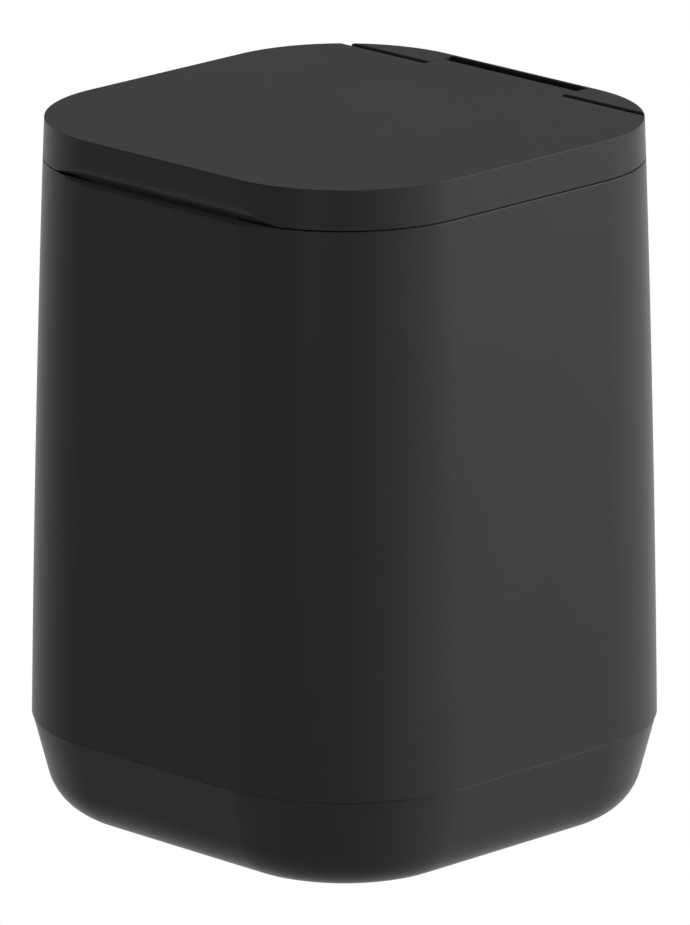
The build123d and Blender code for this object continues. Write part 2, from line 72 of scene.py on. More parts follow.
# Distance within which points count as one, and the cosine above which directions count as one.
TINY = 1e-6
SAME_WAY = 0.999
# Angle above which an edge is a corner to be rounded.
CORNER = radians(60)
# Angles in degrees below which faces shade smoothly into each other.
CREASE, LID_CREASE, SOFT_CREASE = 30, 8, 50
# Steps round small turned solids and round tubes.
TURN_STEPS, TUBE_STEPS = 48, 32
ALONG_X, ALONG_Y, UP = Vector((1, 0, 0)), Vector((0, 1, 0)), Vector((0, 0, 1))


def length(name, description, default):
    """A size in metres."""
    return bpy.props.FloatProperty(
        name=name, description=description, default=default, min=0, precision=5, subtype="DISTANCE"
    )


def angle(name, description, degrees):
    """An angle, with its default given in degrees."""
    return bpy.props.FloatProperty(
        name=name, description=description, default=radians(degrees), subtype="ANGLE"
    )


def share(name, description, default, highest=1.0):
    """A plain number from nothing up to the highest."""
    return bpy.props.FloatProperty(name=name, description=description, default=default, min=0, max=highest)


def count(name, description, default):
    """How many steps or copies there are."""
    return bpy.props.IntProperty(name=name, description=description, default=default, min=2)


def tint(name, description, default):
    """A base colour."""
    return bpy.props.FloatVectorProperty(
        name=name, description=description, default=default, size=3, min=0, max=1, subtype="COLOR"
    )


class ShellSizes(bpy.types.PropertyGroup):
    """Sizes of the sleeve and the base."""

    core: length("Corner core", "Half the square of the corner centres", 0.0393)
    parting: length("Parting", "Gap between the sleeve and the lid", 0.0005)
    rim_half: length("Rim half width", "Half the width of the bin at the gap", 0.0945)
    bulge: length("Bulge", "How far the sides swell between shoulder and rim", 0.00055)
    sleeve_wall: length("Sleeve wall", "Wall of the sleeve", 0.002)
    base_wall: length("Base wall", "Wall of the base", 0.0022)
    base_floor: length("Base floor", "Thickness of the base's floor", 0.0024)
    spigot_wall: length("Spigot wall", "Wall of the base's collar inside the sleeve", 0.0018)
    spigot_gap: length("Spigot gap", "Gap between the base's collar and the sleeve", 0.00015)
    taper: angle("Base taper", "How far the base leans in below the shoulder", 14.6)
    foot_curve: length("Foot curve", "Radius between the base's side and its underside", 0.0215)
    edge: length("Edge", "Radius on the shells' edges", 0.0004)
    bevel: length("Rim bevel", "Height of the bevel under the lid's front", 0.0018)
    corner_steps: count("Corner steps", "Steps in each round corner", 44)
    foot_steps: count("Foot steps", "Steps in the curve of the foot", 14)
    side_rows: count("Side rows", "Rows of faces up the side", 24)
    pocket: length("Pocket radius", "Radius of the pockets for the feet", 0.00805)
    rib: length("Rib", "Thickness of the ribs", 0.002)
    rib_top: length("Rib top", "How far above the shoulder the lower bosses end", 0.024)
    rim_boss: length("Rim boss", "Radius of the screw bosses at the rim", 0.0046)
    foot_boss: length("Foot boss", "Radius of the screw bosses and posts at the foot", 0.0044)
    boss_length: length("Boss length", "Length of the bosses at the rim", 0.014)
    recess_reach: length("Recess reach", "How far the screw recesses cut into the wall", 0.009)
    screw_hole: length("Screw hole", "Radius of the screw holes", 0.0018)
    screw_head: length("Screw head", "Height of a screw's head", 0.0022)
    screw_head_radius: length("Screw head radius", "Radius of a screw's head", 0.0032)
    screw_land: length("Screw land", "Plastic under a screw's head", 0.003)
    screw_clearance: length("Screw clearance", "Gap round a screw's head", 0.00005)


class LidSizes(bpy.types.PropertyGroup):
    """Sizes of the lid."""

    wall: length("Lid wall", "Wall of the lid", 0.0022)
    lean: length("Lean", "How far the skirt leans in from the gap to the top", 0.0006)
    rear_cut: length("Rear cut", "From the middle to the lid's straight rear edge", 0.077)
    tongue_half: length("Tongue half width", "Half the width of the tongue", 0.0348)
    tongue_back: length("Tongue back", "From the middle to the tongue's rear edge", 0.0863)
    edge: length("Edge", "Radius on the lid's top edge", 0.0003)
    scoop_height: length("Scoop height", "How far up the front the scoop starts", 0.006)
    scoop_roll: length("Scoop roll", "Radius of the scoop", 0.00725)
    scoop_depth: length("Scoop depth", "How far the front rolls in", 0.003)
    scoop_steps: count("Scoop steps", "Flats in the roll", 12)
    lip: length("Lip", "Thickening behind the scoop", 0.0005)
    lip_width: length("Lip width", "Width of the thickening", 0.076)
    boss_radius: length("Boss radius", "Radius of the screw bosses", 0.0036)
    boss_hole: length("Boss hole", "Radius of the screw holes", 0.0018)
    boss_spread: length("Boss spread", "From the middle to a row of bosses", 0.05)
    boss_pitch: length("Boss pitch", "From boss to boss along a row", 0.058)
    knuckle_radius: length("Knuckle radius", "Radius of the hinge knuckles", 0.0042)
    knuckle_length: length("Knuckle length", "Length of a hinge knuckle", 0.018)
    bush_fit: length("Bush fit", "Gap round a bush", 0.00005)
    post_radius: length("Post radius", "Radius of the bumper posts", 0.0024)


class SoftSizes(bpy.types.PropertyGroup):
    """Sizes of the seal, the bumpers and the feet."""

    seal_width: length("Seal width", "Width of the seal's strip", 0.004)
    seal_strip: length("Seal strip", "Thickness of the seal's flat strip", 0.0012)
    seal_corner: length("Seal corner", "Outer corner radius of the seal", 0.049)
    bead_steps: count("Bead steps", "Steps in each curve of the seal", 5)
    groove_place: share("Groove place", "Where a foot's groove starts, as a share of its radius", 0.55)
    groove_width: length("Groove width", "Width of the groove in a foot", 0.0008)
    groove_depth: length("Groove depth", "Depth of the groove in a foot", 0.0005)
    foot_edge: length("Foot edge", "Radius on a foot's edge", 0.0006)
    foot_steps: count("Foot steps", "Steps in each curve of a foot", 4)
    bumper_edge: length("Bumper edge", "Radius on a bumper's edge", 0.0006)
    bumper_steps: count("Bumper steps", "Steps in the edge of a bumper", 6)
    turned_steps: count("Turned steps", "Steps round a turned piece", 48)


class Grain:
    """Settings that every moulded finish has."""

    cloud: share("Cloud", "How far the colour wanders", 0.03)
    cloud_size: length("Cloud size", "Width of a cloud", 0.05)
    gloss_spread: share("Gloss spread", "How far the roughness wanders", 0.03)
    grain_size: length("Grain size", "Width of a grain", 0.0007)
    grain_depth: length("Grain depth", "Depth of the grain", 0.00002)
    grain_strength: share("Grain strength", "Strength of the grain's bump", 0.25)
    cloud_detail: share("Cloud detail", "Detail of the clouds", 3.0, 15.0)
    grain_detail: share("Grain detail", "Detail of the grain", 2.0, 15.0)


class BlackLook(Grain, bpy.types.PropertyGroup):
    """Matt black plastic of the shells and the lid."""

    colour: tint("Colour", "Base colour", (0.03, 0.03, 0.0305))
    roughness: share("Roughness", "Mean roughness", 0.34)
    specular: share("Specular", "Specular level", 0.06)


class GreyLook(Grain, bpy.types.PropertyGroup):
    """Smooth grey plastic of the bucket and the liner."""

    colour: tint("Colour", "Base colour", (0.085, 0.085, 0.09))
    roughness: share("Roughness", "Mean roughness", 0.45)
    specular: share("Specular", "Specular level", 0.35)


class RubberLook(Grain, bpy.types.PropertyGroup):
    """Soft rubber of the seal and the bumpers."""

    colour: tint("Colour", "Base colour", (0.045, 0.045, 0.046))
    roughness: share("Roughness", "Mean roughness", 0.75)
    specular: share("Specular", "Specular level", 0.3)


class FootLook(Grain, bpy.types.PropertyGroup):
    """Grey rubber of the feet."""

    colour: tint("Colour", "Base colour", (0.06, 0.06, 0.06))
    roughness: share("Roughness", "Mean roughness", 0.8)
    specular: share("Specular", "Specular level", 0.3)


class BushLook(Grain, bpy.types.PropertyGroup):
    """Waxy pale plastic of the hinge bushes."""

    colour: tint("Colour", "Base colour", (0.6, 0.59, 0.56))
    roughness: share("Roughness", "Mean roughness", 0.38)
    specular: share("Specular", "Specular level", 0.5)


class SteelLook(bpy.types.PropertyGroup):
    """Plated steel of the pins and screws."""

    colour: tint("Colour", "Base colour", (0.55, 0.55, 0.56))
    smoothest: share("Smoothest", "Roughness where the plating is smoothest", 0.256)
    roughest: share("Roughest", "Roughness where the plating is roughest", 0.416)
    scratch_scale: share("Scratch scale", "Scratches across a metre", 900.0, 10000.0)
    scratch_detail: share("Scratch detail", "Detail of the scratches", 4.0, 15.0)
    scratch_strength: share("Scratch strength", "Strength of the scratches' bump", 0.15)
    scratch_depth: length("Scratch depth", "Depth of the scratches", 0.00002)


class StageLook(bpy.types.PropertyGroup):
    """Camera, floor and even light."""

    lens: bpy.props.FloatProperty(
        name="Lens", description="Focal length in mm", default=462.5, min=20, unit="CAMERA"
    )
    shift_x: bpy.props.FloatProperty(name="Shift", description="Sideways lens shift", default=0.0006)
    aim_height: length("Aim height", "Height that the camera looks at", 0.1345)
    distance: length("Distance", "From the target to the camera", 4.3946)
    azimuth: angle("Azimuth", "Round from the front to the right", 45)
    pitch: angle("Pitch", "Camera's angle above the floor", 15.882)
    floor_size: length("Floor size", "Side of the floor", 30.0)
    floor_colour: tint("Floor colour", "Colour that the floor gives back", (0.5, 0.5, 0.5))
    even_light: share("Even light", "Strength of the light from all round", 0.05, 2.0)


def link_rows(tree, rows):
    """Links from (node, socket) to (node, socket), one row each."""
    for source, out, target, into in rows:
        tree.links.new(source.outputs[out], target.inputs[into])


def node(tree, kind, sockets=None, **settings):
    """A shader node with its settings and its sockets' values."""
    made = tree.nodes.new(kind)
    for key, value in settings.items():
        setattr(made, key, value)
    for key, value in (sockets or {}).items():
        made.inputs[key].default_value = value
    return made


def blank_material(name):
    """A node material with only its output."""
    material = bpy.data.materials.new(name)
    material.use_nodes = True
    tree = material.node_tree
    tree.nodes.clear()
    return material, tree, tree.nodes.new("ShaderNodeOutputMaterial")


def moulded_plastic(name, look):
    """Matt moulded plastic: a fine spark grain in the bump, faint clouds in colour and gloss."""
    material, tree, output = blank_material(name)
    place = node(tree, "ShaderNodeTexCoord")
    cloud = node(tree, "ShaderNodeTexNoise", {"Scale": 1 / look.cloud_size, "Detail": look.cloud_detail})
    tone = node(tree, "ShaderNodeMix", data_type="RGBA")
    sockets = [socket for socket in tone.inputs if socket.type == "RGBA"]
    for socket, scale in zip(sockets, (1 - look.cloud, 1 + look.cloud)):
        socket.default_value = (*(part * scale for part in look.colour), 1)
    tone_out = next(socket for socket in tone.outputs if socket.type == "RGBA")
    low, high = look.roughness - look.gloss_spread, look.roughness + look.gloss_spread
    gloss = node(tree, "ShaderNodeMapRange", {"To Min": low, "To Max": high})
    grain = node(tree, "ShaderNodeTexNoise", {"Scale": 1 / look.grain_size, "Detail": look.grain_detail})
    bump = node(
        tree, "ShaderNodeBump", {"Strength": look.grain_strength, "Distance": look.grain_depth}
    )
    shader = node(tree, "ShaderNodeBsdfPrincipled", {"Specular IOR Level": look.specular})
    tree.links.new(tone_out, shader.inputs["Base Color"])
    link_rows(
        tree,
        [
            (place, "Object", cloud, "Vector"),
            (place, "Object", grain, "Vector"),
            (cloud, "Fac", tone, "Factor"),
            (cloud, "Fac", gloss, "Value"),
            (gloss, "Result", shader, "Roughness"),
            (grain, "Fac", bump, "Height"),
            (bump, "Normal", shader, "Normal"),
            (shader, "BSDF", output, "Surface"),
        ],
    )
    return material


def plated_steel(name, look):
    """Plated steel with fine scratches in its gloss."""
    material, tree, output = blank_material(name)
    place = node(tree, "ShaderNodeTexCoord")
    scratch = node(
        tree, "ShaderNodeTexNoise", {"Scale": look.scratch_scale, "Detail": look.scratch_detail}
    )
    gloss = node(tree, "ShaderNodeMapRange", {"To Min": look.smoothest, "To Max": look.roughest})
    bump = node(
        tree, "ShaderNodeBump", {"Strength": look.scratch_strength, "Distance": look.scratch_depth}
    )
    shader = node(
        tree, "ShaderNodeBsdfPrincipled", {"Base Color": (*look.colour, 1), "Metallic": 1.0}
    )
    link_rows(
        tree,
        [
            (place, "Object", scratch, "Vector"),
            (scratch, "Fac", gloss, "Value"),
            (scratch, "Fac", bump, "Height"),
            (gloss, "Result", shader, "Roughness"),
            (bump, "Normal", shader, "Normal"),
            (shader, "BSDF", output, "Surface"),
        ],
    )
    return material


def carry_round(bm, profile, core_x, core_y, steps, middle_y=0.0, closed=True):
    """Carries a profile of (reach, height) points round an oblong with straight sides and spun corners."""
    start = Vector((core_x, middle_y - core_y, 0))
    ring = [bm.verts.new(start + Vector((reach, 0, height))) for reach, height in profile]
    pairs = list(zip(ring, ring[1:]))
    if closed:
        pairs.append((ring[-1], ring[0]))
    last = ring + [bm.edges.new(pair) for pair in pairs]
    runs = ((0, 2 * core_y, 0), (-2 * core_x, 0, 0), (0, -2 * core_y, 0), (2 * core_x, 0, 0))
    spots = ((core_x, core_y), (-core_x, core_y), (-core_x, -core_y), (core_x, -core_y))
    for run, (x, y) in zip(runs, spots):
        centre = Vector((x, middle_y + y, 0))
        straight = bmesh.ops.spin(bm, geom=last, cent=centre, axis=UP, dvec=run, angle=0, steps=1)
        corner = bmesh.ops.spin(
            bm, geom=straight["geom_last"], cent=centre, axis=UP, angle=pi / 2, steps=steps
        )
        last = corner["geom_last"]
    bmesh.ops.remove_doubles(bm, verts=bm.verts, dist=TINY)


def rounded(corners, steps):
    """An open outline through (across, height, radius) corners, with the inner ones rounded by arcs."""
    points = []
    for index, (across, height, radius) in enumerate(corners):
        here = Vector((across, height))
        if radius == 0:
            points.append(tuple(here))
            continue
        back = (Vector(corners[index - 1][:2]) - here).normalized()
        ahead = (Vector(corners[index + 1][:2]) - here).normalized()
        half = back.angle(ahead) / 2
        centre = here + (back + ahead).normalized() * radius / sin(half)
        first = here + back * radius / tan(half) - centre
        swing = first.angle_signed(here + ahead * radius / tan(half) - centre)
        for step in range(steps + 1):
            turn = Matrix.Rotation(-swing * step / steps, 2)
            points.append(tuple(centre + turn @ first))
    return points


def turned(bm, profile, base, axis, steps=TURN_STEPS):
    """Spins an open profile of (radius, height) points, which starts and ends on the axis, into a solid."""
    axis = Vector(axis).normalized()
    side = axis.orthogonal().normalized()
    base = Vector(base)
    ring = [bm.verts.new(base + side * radius + axis * height) for radius, height in profile]
    edges = [bm.edges.new(pair) for pair in zip(ring, ring[1:])]
    before = set(bm.verts)
    bmesh.ops.spin(bm, geom=ring + edges, cent=base, axis=axis, angle=2 * pi, steps=steps, use_merge=True)
    made = [vert for vert in bm.verts if vert not in before or vert in ring]
    bmesh.ops.remove_doubles(bm, verts=made, dist=TINY)


def tube(bm, inner, outer, low, high, base, axis, steps=TUBE_STEPS):
    """A closed tube round an axis."""
    axis = Vector(axis).normalized()
    side = axis.orthogonal().normalized()
    base = Vector(base)
    corners = ((inner, low), (outer, low), (outer, high), (inner, high))
    ring = [bm.verts.new(base + side * radius + axis * height) for radius, height in corners]
    edges = [bm.edges.new(pair) for pair in zip(ring, ring[1:] + ring[:1])]
    bmesh.ops.spin(bm, geom=ring + edges, cent=base, axis=axis, angle=2 * pi, steps=steps, use_merge=True)


def post(bm, radius, low, high, spot):
    """A solid round post between two heights."""
    turned(bm, [(0, low), (radius, low), (radius, high), (0, high)], (spot[0], spot[1], 0), UP)


def block(bm, low, high):
    """A closed block between two corners."""
    low, high = Vector(low), Vector(high)
    place = Matrix.LocRotScale((low + high) / 2, None, high - low)
    bmesh.ops.create_cube(bm, size=1, matrix=place)


def slice_off(bm, point, normal):
    """Cuts away what lies beyond a plane and closes the cut."""
    everything = [*bm.verts, *bm.edges, *bm.faces]
    cut = bmesh.ops.bisect_plane(
        bm, geom=everything, dist=TINY / 10, plane_co=point, plane_no=normal, clear_outer=True
    )
    edges = [item for item in cut["geom_cut"] if isinstance(item, bmesh.types.BMEdge) and item.is_boundary]
    if edges:
        bmesh.ops.edgeloop_fill(bm, edges=edges)


def facing(bm, direction, place=None):
    """The faces that look this way, and lie on this plane where one is given."""
    direction = Vector(direction)
    found = [face for face in bm.faces if face.normal.dot(direction) > SAME_WAY]
    if place is None:
        return found
    return [face for face in found if abs((face.calc_center_median() - place).dot(direction)) < TINY]


def corner_edges(bm, above=0.0):
    """Edges where faces meet at a corner, with both ends above this height."""
    return [
        edge
        for edge in bm.edges
        if edge.is_manifold
        and edge.calc_face_angle(0) > CORNER
        and all(vert.co.z > above for vert in edge.verts)
    ]


def soften(bm, edges, radius, segments=3):
    """Rounds these edges."""
    bmesh.ops.bevel(
        bm,
        geom=edges,
        offset=radius,
        offset_type="OFFSET",
        segments=segments,
        profile=0.5,
        affect="EDGES",
        material=-1,
        clamp_overlap=True,
    )


def finish_piece(context, name, bm, body, slot, replaced, crease=CREASE):
    """Turns the bmesh into a smooth-shaded piece that rides on its body in place of a CAD node."""
    bmesh.ops.recalc_face_normals(bm, faces=bm.faces)
    for face in bm.faces:
        face.smooth = True
    for edge in bm.edges:
        edge.smooth = edge.is_manifold and edge.calc_face_angle(0) < radians(crease)
    mesh = bpy.data.meshes.new(name)
    bm.to_mesh(mesh)
    bm.free()
    mesh.materials.append(finish_of(context, slot))
    piece = bpy.data.objects.new(name, mesh)
    context.scene.collection.objects.link(piece)
    weighted = piece.modifiers.new("even_normals", "WEIGHTED_NORMAL")
    weighted.keep_sharp = True
    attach(piece, body)
    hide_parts(replaced)


def parting_height(shell):
    """Height of the middle of the gap between the sleeve and the lid."""
    return SLEEVE_HIGH.z + shell.parting / 2


def side_half(shell, height):
    """Half width of the sleeve's outside at this height: a line with a parabola on it."""
    rise = (height - SLEEVE_LOW.z) / (parting_height(shell) - SLEEVE_LOW.z)
    straight = SLEEVE_HIGH.x + (shell.rim_half - SLEEVE_HIGH.x) * rise
    return straight + 4 * shell.bulge * rise * (1 - rise)


def lid_half(shell, lid, height):
    """Half width of the outside of the lid at this height."""
    parting = parting_height(shell)
    return shell.rim_half - lid.lean * (height - parting) / (LID_HIGH.z - parting)


def diagonal_spots(reach):
    """The four places on the plan's diagonals at this reach from the middle."""
    side = reach / sqrt(2)
    return [(x * side, y * side) for x in (-1, 1) for y in (-1, 1)]


def middle_of(name):
    """The middle of a CAD node's box."""
    low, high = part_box(name)
    return (low + high) / 2


def upright(name):
    """Foot, radius and height of an upright round CAD node."""
    low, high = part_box(name)
    middle = (low + high) / 2
    return Vector((middle.x, middle.y, low.z)), (high.x - low.x) / 2, high.z - low.z


def screw_reach(name, head_radius):
    """Reach of a ring of four screws, from the box of their node."""
    return (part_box(name)[1].x - head_radius) * sqrt(2)


def rib(bm, spot, inner, outer, thickness, low, high):
    """A radial rib on a diagonal, from one reach to another."""
    outwards = Vector((*spot, 0)).normalized()
    middle = outwards * (inner + outer) / 2 + UP * (low + high) / 2
    turn = ALONG_X.rotation_difference(outwards)
    size = Vector((outer - inner, thickness, high - low))
    bmesh.ops.create_cube(bm, size=1, matrix=Matrix.LocRotScale(middle, turn, size))


def cut_with(bm, cutter):
    """Cuts one bmesh out of another with an exact boolean, and gives back the result."""
    objects = []
    for name, source in (("body", bm), ("cutter", cutter)):
        bmesh.ops.recalc_face_normals(source, faces=source.faces)
        mesh = bpy.data.meshes.new(name)
        source.to_mesh(mesh)
        source.free()
        objects.append(bpy.data.objects.new(name, mesh))
        bpy.context.scene.collection.objects.link(objects[-1])
    body, tool = objects
    cut = body.modifiers.new("cut", "BOOLEAN")
    cut.operation = "DIFFERENCE"
    cut.solver = "EXACT"
    cut.object = tool
    result = bmesh.new()
    result.from_object(body, bpy.context.evaluated_depsgraph_get())
    for obj in objects:
        mesh = obj.data
        bpy.data.objects.remove(obj)
        bpy.data.meshes.remove(mesh)
    return result


def fill_level(bm, height):
    """Closes the open loop at this height with one face."""
    edges = [
        edge
        for edge in bm.edges
        if edge.is_boundary and all(abs(vert.co.z - height) < TINY for vert in edge.verts)
    ]
    bmesh.ops.edgeloop_fill(bm, edges=edges)


def finish_of(context, slot):
    """The material of a slot, made the first time that a piece asks for it."""
    made = bpy.data.materials.get(slot + "_finish")
    if made:
        return made
    scene = context.scene
    plastics = {
        "black_plastic": scene.bin_black,
        "grey_plastic": scene.bin_grey,
        "soft_rubber": scene.bin_rubber,
        "foot_rubber": scene.bin_foot,
        "bush_plastic": scene.bin_bush,
    }
    if slot in plastics:
        return moulded_plastic(slot + "_finish", plastics[slot])
    return plated_steel(slot + "_finish", scene.bin_steel)


class BIN_OT_sleeve(bpy.types.Operator):
    """Models the barrelled sleeve with its bevelled front rim"""

    bl_idname = "bin.sleeve"
    bl_label = "Sleeve"

    def execute(self, context):
        sizes = context.scene.bin_shell
        low, high = SLEEVE_LOW.z, SLEEVE_HIGH.z
        bevel_z = parting_height(sizes) - sizes.bevel
        under_rim = bevel_z - sizes.edge
        heights = [low + (under_rim - low) * row / sizes.side_rows for row in range(sizes.side_rows + 1)]
        heights.append(high)
        outside = [(side_half(sizes, z) - sizes.core, z) for z in heights]
        inside = [(reach - sizes.sleeve_wall, z) for reach, z in reversed(outside)]
        bm = bmesh.new()
        carry_round(bm, outside + inside, sizes.core, sizes.core, sizes.corner_steps)
        bmesh.ops.recalc_face_normals(bm, faces=bm.faces)
        soften(bm, corner_edges(bm), sizes.edge)
        slice_off(bm, (0, -side_half(sizes, bevel_z), bevel_z), (0, -1, 1))
        self.add_bosses(bm, sizes)
        finish_piece(context, "sleeve_shell", bm, "body", "black_plastic", "outer_sleeve")
        return {"FINISHED"}

    def add_bosses(self, bm, sizes):
        """Screw bosses on ribs, at the rim and above the shoulder."""
        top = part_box("hinge_frame")[0].z
        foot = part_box("base_screws")[0].z + sizes.screw_head + sizes.screw_land
        rim = top - sizes.boss_length
        rings = (
            ("frame_screws", sizes.rim_boss, rim, top, rim),
            ("base_screws", sizes.foot_boss, foot, SLEEVE_LOW.z + sizes.rib_top, BASE_HIGH.z),
        )
        for screws, radius, low, high, rib_low in rings:
            reach = screw_reach(screws, sizes.screw_head_radius)
            wall = side_half(sizes, high) - sizes.core + sizes.core * sqrt(2) - sizes.sleeve_wall / 2
            for spot in diagonal_spots(reach):
                tube(bm, sizes.screw_hole, radius, low, high, (*spot, 0), UP)
                rib(bm, spot, reach + sizes.screw_hole, wall, sizes.rib, rib_low + TINY, high)


class BIN_OT_base(bpy.types.Operator):
    """Models the tapered base with its floor, foot pockets and screw posts"""

    bl_idname = "bin.base"
    bl_label = "Base"

    def execute(self, context):
        sizes = context.scene.bin_shell
        bm = bmesh.new()
        profile = self.outline(sizes)
        carry_round(bm, profile, sizes.core, sizes.core, sizes.corner_steps, closed=False)
        for height in (profile[0][1], profile[-1][1]):
            fill_level(bm, height)
        bm = cut_with(bm, self.pockets(sizes))
        self.add_posts(bm, sizes)
        finish_piece(context, "base_shell", bm, "body", "black_plastic", "base_cup")
        return {"FINISHED"}

    def outline(self, sizes):
        """From the underside round the foot, up the taper, over the collar and back down inside."""
        low, shoulder = BASE_LOW.z, SLEEVE_LOW.z
        lean = tan(sizes.taper)
        top = BASE_HIGH.x - sizes.core
        foot = top - (shoulder - low) * lean
        across = sizes.base_wall / cos(sizes.taper)
        floor = low + sizes.base_floor
        inner_foot = foot - across + sizes.base_floor * lean
        collar = side_half(sizes, BASE_HIGH.z) - sizes.core - sizes.sleeve_wall - sizes.spigot_gap
        collar_in = collar - sizes.spigot_wall
        ledge = shoulder - sizes.spigot_wall
        return rounded(
            [
                (sizes.base_wall, low, 0),
                (foot, low, sizes.foot_curve),
                (top, shoulder, sizes.edge),
                (collar, shoulder, 0),
                (collar, BASE_HIGH.z, sizes.edge),
                (collar_in, BASE_HIGH.z, sizes.edge),
                (collar_in, ledge, 0),
                (top - across - sizes.spigot_wall * lean, ledge, 0),
                (inner_foot, floor, sizes.foot_curve - sizes.base_wall),
                (0, floor, 0),
            ],
            sizes.foot_steps,
        )

    def pockets(self, sizes):
        """Cutters for the feet's pockets and the screws' recesses, which start below the base."""
        cutter = bmesh.new()
        start, depth = -BASE_LOW.z, BASE_LOW.z + sizes.recess_reach
        for name in FEET:
            post(cutter, sizes.pocket, start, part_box(name)[1].z, middle_of(name))
        recess = sizes.screw_head_radius + sizes.screw_clearance
        for spot in diagonal_spots(screw_reach("base_screws", sizes.screw_head_radius)):
            post(cutter, recess, start, depth, spot)
        return cutter

    def add_posts(self, bm, sizes):
        """Screw posts on the diagonals, and pads over the pockets."""
        recess = sizes.screw_head_radius + sizes.screw_clearance
        bottom = BASE_LOW.z + sizes.base_floor / 2
        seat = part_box("base_screws")[0].z + sizes.screw_head
        top = seat + sizes.screw_land - sizes.screw_clearance
        for spot in diagonal_spots(screw_reach("base_screws", sizes.screw_head_radius)):
            tube(bm, recess, sizes.foot_boss, bottom, seat, (*spot, 0), UP)
            tube(bm, sizes.screw_hole, sizes.foot_boss, seat, top, (*spot, 0), UP)
        for name in FEET:
            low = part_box(name)[1].z + sizes.screw_clearance
            post(bm, sizes.pocket + sizes.base_floor, low, low + sizes.base_floor, middle_of(name))


class BIN_OT_lid(bpy.types.Operator):
    """Models the lid with its rolled-in front, its tongue and its knuckles"""

    bl_idname = "bin.lid"
    bl_label = "Lid"

    def execute(self, context):
        sizes, shell = context.scene.bin_lid, context.scene.bin_shell
        low, high = SLEEVE_HIGH.z + shell.parting, LID_HIGH.z
        ceiling = high - sizes.wall
        scoop_top = parting_height(shell) + sizes.scoop_height
        front = lid_half(shell, sizes, scoop_top)
        bm = bmesh.new()
        skirt = [(lid_half(shell, sizes, z) - shell.core, z) for z in (low, scoop_top, high)]
        carry_round(bm, skirt, shell.core, shell.core, shell.corner_steps, closed=False)
        fill_level(bm, low)
        fill_level(bm, high)
        slice_off(bm, (0, sizes.rear_cut, 0), ALONG_Y)
        self.hollow(bm, sizes.wall, low, ceiling)
        self.roll_in(bm, sizes, front, scoop_top)
        self.add_tongue(bm, sizes, ceiling)
        bmesh.ops.recalc_face_normals(bm, faces=bm.faces)
        soften(bm, corner_edges(bm, above=high - TINY), sizes.edge)
        self.add_knuckles(bm, sizes, ceiling)
        self.add_inside(bm, sizes, ceiling, front, scoop_top)
        finish_piece(context, "lid_shell", bm, "lid", "black_plastic", "lid_cover", LID_CREASE)
        return {"FINISHED"}

    def hollow(self, bm, wall, low, ceiling):
        """Draws the underside in by the wall and pushes it up to the ceiling."""
        bmesh.ops.recalc_face_normals(bm, faces=bm.faces)
        under = facing(bm, -UP)
        bmesh.ops.inset_individual(bm, faces=under, thickness=wall, use_even_offset=True)
        pushed = bmesh.ops.extrude_discrete_faces(bm, faces=under)["faces"]
        verts = list({vert for face in pushed for vert in face.verts})
        bmesh.ops.translate(bm, verts=verts, vec=UP * (ceiling - low))

    def roll_in(self, bm, sizes, front, scoop_top):
        """Rolls the lower front inwards: flats that follow an arc along X."""
        radius = sizes.scoop_roll
        centre = Vector((0, radius - front, scoop_top))
        whole = acos(1 - sizes.scoop_depth / radius)
        for step in range(sizes.scoop_steps + 1):
            lean = whole * step / sizes.scoop_steps
            outwards = Vector((0, -cos(lean), -sin(lean)))
            slice_off(bm, centre + outwards * radius, outwards)

    def add_tongue(self, bm, sizes, ceiling):
        """Pulls the middle of the rear edge back as a tongue."""
        bmesh.ops.recalc_face_normals(bm, faces=bm.faces)
        rear = Vector((0, sizes.rear_cut, 0))
        cuts = (
            (ALONG_X * sizes.tongue_half, ALONG_X),
            (ALONG_X * -sizes.tongue_half, ALONG_X),
            (UP * ceiling, UP),
        )
        for point, normal in cuts:
            faces = facing(bm, ALONG_Y, rear)
            edges = {edge for face in faces for edge in face.edges}
            verts = {vert for face in faces for vert in face.verts}
            bmesh.ops.bisect_plane(
                bm, geom=[*verts, *edges, *faces], dist=TINY / 10, plane_co=point, plane_no=normal
            )
        chosen = [
            face
            for face in facing(bm, ALONG_Y, rear)
            if abs(face.calc_center_median().x) < TINY and face.calc_center_median().z > ceiling
        ]
        pulled = bmesh.ops.extrude_discrete_faces(bm, faces=chosen)["faces"]
        verts = list({vert for face in pulled for vert in face.verts})
        bmesh.ops.translate(bm, verts=verts, vec=ALONG_Y * (sizes.tongue_back - sizes.rear_cut))

    def add_knuckles(self, bm, sizes, ceiling):
        """Two knuckles on webs under the tongue, bored for the bushes."""
        hinge = middle_of("hinge_pin_right")
        bore = (BUSH_HIGH.z - BUSH_LOW.z) / 2 + sizes.bush_fit
        half = sizes.knuckle_length / 2
        for side in (-1, 1):
            middle = side * (sizes.tongue_half - half)
            place = (middle, hinge.y, hinge.z)
            tube(bm, bore, sizes.knuckle_radius, -half, half, place, ALONG_X, TURN_STEPS)
            near = (middle - half, sizes.rear_cut - sizes.wall / 2, hinge.z + sizes.bush_fit)
            block(bm, near, (middle + half, hinge.y, ceiling))

    def add_inside(self, bm, sizes, ceiling, front, scoop_top):
        """Screw bosses, bumper posts and the thickening behind the scoop."""
        middle = middle_of("lid_liner")
        for x in (-sizes.boss_spread, sizes.boss_spread):
            for row in (-1, 0, 1):
                spot = (x, middle.y + row * sizes.boss_pitch, 0)
                tube(bm, sizes.boss_hole, sizes.boss_radius, LID_LOW.z, ceiling, spot, UP)
        for name in BUMPERS:
            post(bm, sizes.post_radius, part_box(name)[1].z, ceiling, middle_of(name))
        inside = sizes.wall - front + TINY
        reach = sizes.scoop_roll - sizes.wall
        lip_z = scoop_top - sqrt(sizes.scoop_roll**2 - reach**2)
        half = sizes.lip_width / 2
        block(bm, (-half, inside, lip_z), (half, inside + sizes.lip, scoop_top))


